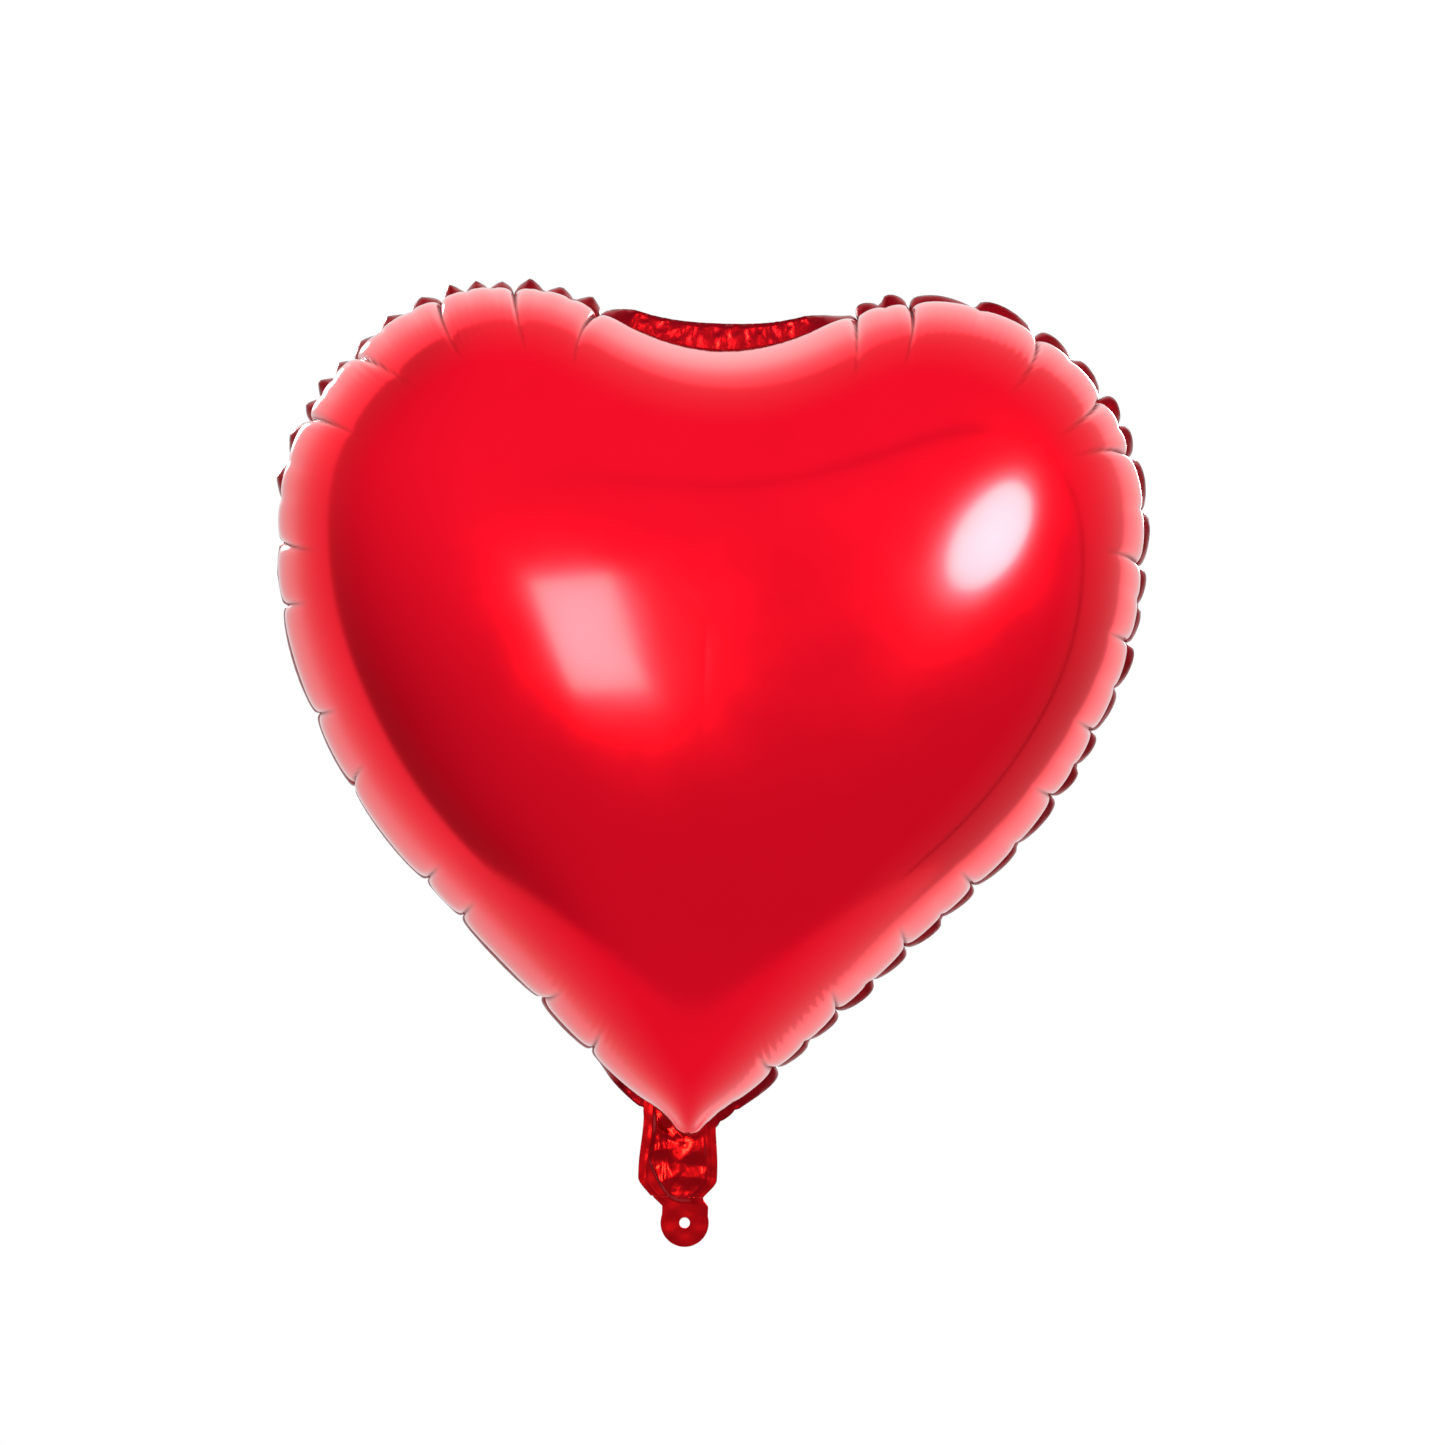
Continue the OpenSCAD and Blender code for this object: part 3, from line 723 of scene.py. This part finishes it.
def metallised_film(name, colour, deep, roughness, wrinkle_mm, wrinkle_strength, clear):
    """Nylon film with a vacuum-laid aluminium mirror under a tinted clear layer."""
    material = new_material(name)
    if material is None:
        return bpy.data.materials[name]
    tree = material.node_tree
    place = add_node(tree, "ShaderNodeTexCoord", (-900, 0)).outputs["Object"]
    # Stretched film shows slow swells, one every few centimetres, and a faint haze of rubbed spots.
    swell = add_node(tree, "ShaderNodeTexNoise", (-700, 0), values={
        "Scale": 1 / (wrinkle_mm * MM), "Detail": 3.0, "Roughness": 0.45}, links={"Vector": place})
    haze = add_node(tree, "ShaderNodeTexNoise", (-700, -260), values={
        "Scale": 1 / (30 * MM), "Detail": 6.0, "Roughness": 0.6}, links={"Vector": place})
    rough = add_node(tree, "ShaderNodeMapRange", (-450, -260), values={
        "From Min": 0.3, "From Max": 0.7, "To Min": roughness * 0.9, "To Max": roughness * 1.15},
        links={"Value": haze.outputs["Fac"]})
    tint = add_node(tree, "ShaderNodeMix", (-450, 200), {"data_type": "RGBA"}, links={
        "Factor": swell.outputs["Fac"]})
    tint.inputs[6].default_value = linear(colour)
    tint.inputs[7].default_value = linear(deep)
    # Painted shade: at the bottom of a fold the colour is mixed to a near-black red, standing in for film
    # that mirrors only film there.
    shaded = add_node(tree, "ShaderNodeAttribute", (-450, 640), {"attribute_name": "painted_fold_shade"}).outputs["Fac"]
    fold_shaded = add_node(tree, "ShaderNodeMix", (-220, 200), {"data_type": "RGBA"}, links={
        "Factor": shaded, 6: tint.outputs[2]})
    fold_shaded.inputs[7].default_value = linear("140002")
    bump = add_node(tree, "ShaderNodeBump", (-450, -520), values={
        "Strength": wrinkle_strength, "Distance": 0.0004}, links={"Height": swell.outputs["Fac"]})
    # The clear layer over the mirror only shows at a slant, where it whitens the tint.
    facing = add_node(tree, "ShaderNodeLayerWeight", (-700, 420), values={"Blend": 0.5})
    slant = add_node(tree, "ShaderNodeMapRange", (-450, 420), values={
        "From Min": 0.14, "From Max": 0.55, "To Min": 0.02, "To Max": clear},
        links={"Value": facing.outputs["Facing"]})
    # In the painted shade the clear layer is taken off and the gloss dulled, so that the dark line stays
    # dark.
    layer = add_node(tree, "ShaderNodeMix", (-220, 420), links={0: shaded, 2: slant.outputs["Result"]})
    dull = add_node(tree, "ShaderNodeMix", (-220, -200), values={3: 0.7}, links={
        0: shaded, 2: rough.outputs["Result"]})
    shader = add_node(tree, "ShaderNodeBsdfPrincipled", (0, 0), values={
        "Metallic": 1.0, "Coat Roughness": 0.08, "Coat IOR": 1.55},
        links={"Base Color": fold_shaded.outputs[2], "Roughness": dull.outputs[0],
               "Normal": bump.outputs["Normal"], "Coat Weight": layer.outputs[0]})
    add_node(tree, "ShaderNodeOutputMaterial", (300, 0), links={"Surface": shader.outputs["BSDF"]})
    return material


def foil_material():
    """Red metallised film stretched tight: an almost clean mirror with a slight blur."""
    colours = bpy.context.scene.film_colours
    return metallised_film("red_metallised_film", colours.foil, "EE0C24", colours.roughness, 45, 0.06, 0.9)


def seal_material():
    """Two films fused by a hot tool: darker, duller and finely wrinkled across the weld."""
    colours = bpy.context.scene.film_colours
    return metallised_film("fused_red_film", colours.seal, "6A0410", 0.24, 3.5, 0.4, 0.15)


def tail_material():
    """Slack metallised film: soft creases that catch the light."""
    colours = bpy.context.scene.film_colours
    return metallised_film("slack_red_film", colours.tail, "84040D", 0.22, 9, 0.2, 0.7)


def valve_material():
    """Blown polyethylene film: clear, faintly milky and soft in its gloss."""
    material = new_material("clear_polyethylene_film")
    if material is None:
        return bpy.data.materials["clear_polyethylene_film"]
    tree = material.node_tree
    place = add_node(tree, "ShaderNodeTexCoord", (-700, 0)).outputs["Object"]
    # Draw lines of the blown tube, one or two each millimetre, along its length
    streak = add_node(tree, "ShaderNodeTexWave", (-450, 0), {"bands_direction": "X"}, {
        "Scale": 90.0, "Distortion": 2.0, "Detail": 2.0}, {"Vector": place})
    rough = add_node(tree, "ShaderNodeMapRange", (-200, 0), values={"To Min": 0.22, "To Max": 0.32},
                     links={"Value": streak.outputs["Fac"]})
    shader = add_node(tree, "ShaderNodeBsdfPrincipled", (0, 0), values={
        "Base Color": linear(bpy.context.scene.film_colours.valve), "IOR": 1.51, "Alpha": 0.55},
        links={"Roughness": rough.outputs["Result"]})
    add_node(tree, "ShaderNodeOutputMaterial", (300, 0), links={"Surface": shader.outputs["BSDF"]})
    return material


def floor_material():
    """Matt white card."""
    material = new_material("matt_white_card")
    if material is None:
        return bpy.data.materials["matt_white_card"]
    tree = material.node_tree
    place = add_node(tree, "ShaderNodeTexCoord", (-700, 0)).outputs["Object"]
    grain = add_node(tree, "ShaderNodeTexNoise", (-450, 0), values={"Scale": 40.0}, links={"Vector": place})
    tone = add_node(tree, "ShaderNodeMix", (-200, 0), {"data_type": "RGBA"},
                    links={"Factor": grain.outputs["Fac"]})
    tone.inputs[6].default_value = linear("E6E6E6")
    tone.inputs[7].default_value = linear("E2E2E2")
    shader = add_node(tree, "ShaderNodeBsdfPrincipled", (0, 0), values={"Roughness": 0.9},
                      links={"Base Color": tone.outputs[2]})
    add_node(tree, "ShaderNodeOutputMaterial", (300, 0), links={"Surface": shader.outputs["BSDF"]})
    return material


# ---------------------------------------------------------------- operators

class BALLOON_OT_front_panel(bpy.types.Operator):
    """Make the front panel of the heart, puckered along its seam"""
    bl_idname = "balloon.front_panel"
    bl_label = "Front Panel"

    def execute(self, context):
        piece = make_panel("heart_front", -1)
        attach(piece, "balloon")
        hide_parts("front_panel")
        return {"FINISHED"}


class BALLOON_OT_rear_panel(bpy.types.Operator):
    """Make the rear panel of the heart, with the same folds at the seam and its own further in"""
    bl_idname = "balloon.rear_panel"
    bl_label = "Rear Panel"

    def execute(self, context):
        piece = make_panel("heart_rear", 1)
        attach(piece, "balloon")
        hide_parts("rear_panel")
        return {"FINISHED"}


class BALLOON_OT_rim(bpy.types.Operator):
    """Make the ruffled rim where the two panels are fused"""
    bl_idname = "balloon.rim"
    bl_label = "Rim"

    def execute(self, context):
        piece = make_rim("rim")
        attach(piece, "balloon")
        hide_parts("edge_seal")
        return {"FINISHED"}


class BALLOON_OT_tail(bpy.types.Operator):
    """Make the slack tail, up into the neck"""
    bl_idname = "balloon.tail"
    bl_label = "Tail"

    def execute(self, context):
        piece = make_tail("tail")
        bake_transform(piece)
        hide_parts("tail_front_film", "tail_rear_film", "tail_left_seal", "tail_right_seal")
        return {"FINISHED"}


class BALLOON_OT_tab(bpy.types.Operator):
    """Make the tab with its ribbon hole, and the end of the tail above it"""
    bl_idname = "balloon.tab"
    bl_label = "Tab"

    def execute(self, context):
        piece = make_tab("tab")
        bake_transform(piece)
        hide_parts("ribbon_tab")
        return {"FINISHED"}


class BALLOON_OT_valve(bpy.types.Operator):
    """Give the valve's films, inside the neck, their clear material"""
    bl_idname = "balloon.valve"
    bl_label = "Valve"

    def execute(self, context):
        film = valve_material()
        for name in ("valve_front_film", "valve_rear_film", "valve_left_seal", "valve_right_seal",
                     "inlet_front_film", "inlet_rear_film"):
            node = frame["nodes"][name]
            node.data.materials.clear()
            node.data.materials.append(film)
        return {"FINISHED"}


def mirrored_way(surface, normal, x, z, eye):
    """A place on the smooth panel, and the direction that it mirrors towards the eye: the line of
    sight turned over the normal."""
    near = np.argmin((surface[..., 0] - x) ** 2 + (surface[..., 2] - z) ** 2)
    place, upright = Vector(surface.reshape(-1, 3)[near]), Vector(normal.reshape(-1, 3)[near])
    sight = (Vector(eye) - place).normalized()
    return place, 2 * sight.dot(upright) * upright - sight


def add_softbox(name, place, target, shape, size, radiance, turn=0.0):
    """A lamp at a place, facing a target and turned about its own axis, of an even radiance."""
    lamp = bpy.data.lights.new(name, "AREA")
    lamp.shape = shape
    lamp.size, lamp.size_y = size
    area = size[0] * size[1] * (math.pi / 4 if shape == "ELLIPSE" else 1)
    # A grid over the lamp halves its cone. The same radiance along its axis then takes (1 - pi / 4)
    # of the power.
    lamp.spread = math.pi / 2
    lamp.energy = radiance * math.pi * area * (1 - math.pi / 4)
    # The front lamps are warm, so that the film mirrors them as a pinkish white.
    lamp.color = (0.62, 1.0, 0.26) if place[1] < 0 else (1.0, 1.0, 1.0)
    thing = bpy.data.objects.new(name, lamp)
    thing.location = place
    facing = (Vector(target) - Vector(place)).to_track_quat("-Z", "Y").to_matrix().to_4x4()
    thing.rotation_euler = (facing @ Matrix.Rotation(turn, 4, "Z")).to_euler()
    thing.visible_camera = False
    bpy.context.scene.collection.objects.link(thing)
    return thing


def light_studio(heart, eye):
    """Four soft lamps, put where the panels mirror them at chosen places: two for the front and two
    for the rear. Each is a nest of ever wider and dimmer ones, which fades its edge."""
    spots = (
        ("left", -1, -0.053, 0.227, "RECTANGLE", (0.30, 0.40), 82, 1.3, 0.05, 0.28),
        ("right", -1, 0.125, 0.276, "ELLIPSE", (0.42, 0.52), 165, 1.35, 0.09, -0.5),
        ("rear_left", 1, -0.120, 0.285, "ELLIPSE", (0.25, 0.45), 12, 1.3, 0.15, -0.4),
        ("rear_right", 1, 0.085, 0.262, "RECTANGLE", (0.22, 0.36), 10, 1.3, 0.15, 0.2),
    )
    fold = bpy.context.scene.fold_sizes
    domes = {side: heart_dome(heart, fold, side)[:2] for side in (-1, 1)}
    for name, side, x, up, shape, size, radiance, wider, dimmer, turn in spots:
        watch = Vector((eye[0], -side * eye[1], eye[2]))
        place, way = mirrored_way(*domes[side], x, heart.tip_z + up, watch)
        for level in range(4):
            grown = (size[0] * wider ** level, size[1] * wider ** level)
            add_softbox(f"softbox_{name}_{level}", place + (1.5 + 0.04 * level) * way, place, shape,
                        grown, radiance * dimmer ** level, turn)


def light_world(scene, strength):
    """A white backdrop behind and a slightly greyer room in front, darker below. Their border is
    turned, so the backdrop reaches further forward on the left than on the right."""
    scene.world = scene.world or bpy.data.worlds.new("studio")
    scene.world.use_nodes = True
    tree = scene.world.node_tree
    tree.nodes.clear()
    way = add_node(tree, "ShaderNodeTexCoord", (-1500, 0)).outputs["Generated"]
    parts = add_node(tree, "ShaderNodeSeparateXYZ", (-1300, -100), links={"Vector": way})
    front = add_node(tree, "ShaderNodeVectorMath", (-1300, 200), {"operation": "DOT_PRODUCT"},
                     {1: (0.36, -1.0, 0.0)}, {0: way})
    inside = add_node(tree, "ShaderNodeMapRange", (-1000, 300), {"interpolation_type": "SMOOTHSTEP"}, {
        "From Min": -0.10, "From Max": -0.02}, {"Value": front.outputs["Value"]})
    # A darker edge just inside the walls, on the left only
    edge = add_node(tree, "ShaderNodeMapRange", (-1000, 0), {"interpolation_type": "SMOOTHSTEP"}, {
        "From Min": 0.0, "From Max": 0.80, "To Min": 0.28, "To Max": 0.0}, {"Value": front.outputs["Value"]})
    left = add_node(tree, "ShaderNodeMapRange", (-1000, -520), {"interpolation_type": "SMOOTHSTEP"}, {
        "From Min": -0.1, "From Max": -0.6}, {"Value": parts.outputs["X"]})
    edge_left = add_node(tree, "ShaderNodeMath", (-600, -200), {"operation": "MULTIPLY"},
                         links={0: edge.outputs[0], 1: left.outputs[0]})
    rise = add_node(tree, "ShaderNodeMapRange", (-780, -400), {"interpolation_type": "SMOOTHSTEP"}, {
        "From Min": -0.40, "From Max": 0.45, "To Min": 0.64, "To Max": 1.0}, {"Value": parts.outputs["Z"]})
    field = add_node(tree, "ShaderNodeMath", (-420, 200), {"operation": "SUBTRACT"},
                     links={0: rise.outputs[0], 1: edge_left.outputs[0]})
    # The hoop of a round reflector in front: a thin dark ring that fades out to the left
    hoop = add_node(tree, "ShaderNodeVectorMath", (-1300, -700), {"operation": "DOT_PRODUCT"},
                    {1: (0.278, -0.906, -0.317)}, {0: way})
    on_hoop = add_node(tree, "ShaderNodeMath", (-1100, -760), {"operation": "COMPARE"},
                       {1: 0.60, 2: 0.010}, {0: hoop.outputs["Value"]})
    hoop_right = add_node(tree, "ShaderNodeMapRange", (-1000, -900), {"interpolation_type": "SMOOTHSTEP"}, {
        "From Min": -0.35, "From Max": 0.20, "To Max": 0.45}, {"Value": parts.outputs["X"]})
    hoop_dark = add_node(tree, "ShaderNodeMath", (-780, -800), {"operation": "MULTIPLY"},
                         links={0: on_hoop.outputs[0], 1: hoop_right.outputs[0]})
    ahead = add_node(tree, "ShaderNodeMath", (-300, 260), {"operation": "SUBTRACT"},
                     links={0: field.outputs[0], 1: hoop_dark.outputs[0]})
    # The walls are brightest overhead, and brighter on the right than on the left.
    over = add_node(tree, "ShaderNodeMapRange", (-780, 560), {"interpolation_type": "SMOOTHSTEP"}, {
        "From Min": 0.0, "From Max": 0.9, "To Min": 1.05, "To Max": 1.5}, {"Value": parts.outputs["Z"]})
    walls = add_node(tree, "ShaderNodeMath", (-600, 560), {"operation": "MULTIPLY_ADD"}, {1: 0.12},
                     {0: parts.outputs["X"], 2: over.outputs[0]})
    behind = add_node(tree, "ShaderNodeMapRange", (-600, 760), {"interpolation_type": "SMOOTHSTEP"}, {
        "From Min": 0.55, "From Max": 0.95, "To Min": 1.0, "To Max": 0.8}, {"Value": parts.outputs["Y"]})
    backdrop = add_node(tree, "ShaderNodeMath", (-420, 560), {"operation": "MULTIPLY"},
                        links={0: walls.outputs[0], 1: behind.outputs[0]})
    shade = add_node(tree, "ShaderNodeMix", (-240, 0), links={
        0: inside.outputs[0], 2: backdrop.outputs[0], 3: ahead.outputs[0]})
    seen = add_node(tree, "ShaderNodeLightPath", (-60, 300)).outputs["Is Camera Ray"]
    plain = add_node(tree, "ShaderNodeMix", (120, 100), values={3: 1.0},
                     links={0: seen, 2: shade.outputs[0]})
    glow = add_node(tree, "ShaderNodeBackground", (300, 0), values={"Strength": strength},
                    links={"Color": plain.outputs[0]})
    add_node(tree, "ShaderNodeOutputWorld", (500, 0), links={"Surface": glow.outputs["Background"]})


class BALLOON_OT_stage(bpy.types.Operator):
    """Make the pale floor, the white surroundings, the softboxes and the camera"""
    bl_idname = "balloon.stage"
    bl_label = "Stage"

    def execute(self, context):
        scene = context.scene
        heart, studio = scene.heart_sizes, scene.studio_sizes
        aim = Vector((0.0085, 0, heart.tip_z + 0.1884))

        camera = bpy.data.objects.new("camera", bpy.data.cameras.new("camera"))
        camera.data.lens = studio.lens
        camera.data.sensor_width = 36
        away = studio.view_w * studio.lens / camera.data.sensor_width
        turn = Matrix.Rotation(math.pi / 2, 4, "X") @ Matrix.Rotation(studio.roll, 4, "Z")
        camera.matrix_world = Matrix.Translation(aim + Vector((0, -away, 0))) @ turn
        camera.data.clip_start, camera.data.clip_end = 0.05, 50
        scene.collection.objects.link(camera)
        scene.camera = camera

        turn = np.linspace(0, 2 * np.pi, 96, endpoint=False)
        ring = np.stack([3 * np.cos(turn), 3 * np.sin(turn), 0 * turn - studio.floor_drop], -1)
        centre = np.array([[0, 0, -studio.floor_drop]])
        corner = np.arange(96)
        disc = add_mesh("floor", np.vstack([ring, centre]),
                        np.stack([corner, np.roll(corner, -1), np.full(96, 96)], -1), smooth=False)
        disc.data.materials.append(floor_material())

        light_studio(heart, aim + Vector((0, -away, 0)))
        light_world(scene, studio.sky)
        scene.view_settings.view_transform = "Standard"
        return {"FINISHED"}


class BALLOON_PT_panel(bpy.types.Panel):
    """Sizes, colours and pieces of the balloon"""
    bl_idname = "BALLOON_PT_panel"
    bl_label = "Heart Foil Balloon"
    bl_space_type = "VIEW_3D"
    bl_region_type = "UI"
    bl_category = "Balloon"

    def draw(self, context):
        scene = context.scene
        for title, group in (("Heart", scene.heart_sizes), ("Folds", scene.fold_sizes),
                             ("Films", scene.film_colours), ("Studio", scene.studio_sizes)):
            box = self.layout.box()
            box.label(text=title)
            for name in group.bl_rna.properties.keys():
                if name not in ("name", "rna_type"):
                    box.prop(group, name)
        for operator in PIECES:
            self.layout.operator(operator.bl_idname)


PIECES = (
    BALLOON_OT_stage, BALLOON_OT_front_panel, BALLOON_OT_rear_panel, BALLOON_OT_rim,
    BALLOON_OT_tail, BALLOON_OT_tab, BALLOON_OT_valve,
)
GROUPS = {
    "heart_sizes": HeartSizes, "fold_sizes": FoldSizes, "film_colours": FilmColours,
    "studio_sizes": StudioSizes,
}


def register():
    """Registers the property groups, the operators and the panel."""
    for name, group in GROUPS.items():
        bpy.utils.register_class(group)
        setattr(bpy.types.Scene, name, bpy.props.PointerProperty(type=group))
    for piece in (*PIECES, BALLOON_PT_panel):
        bpy.utils.register_class(piece)


def unregister():
    """Removes them again."""
    for piece in reversed((*PIECES, BALLOON_PT_panel)):
        bpy.utils.unregister_class(piece)
    for name, group in reversed(GROUPS.items()):
        delattr(bpy.types.Scene, name)
        bpy.utils.unregister_class(group)


def main():
    """Makes every piece in order."""
    register()
    bpy.ops.balloon.stage()
    bpy.ops.balloon.front_panel()
    bpy.ops.balloon.rear_panel()
    bpy.ops.balloon.rim()
    bpy.ops.balloon.tail()
    bpy.ops.balloon.tab()
    bpy.ops.balloon.valve()


if __name__ == "__main__":
    main()
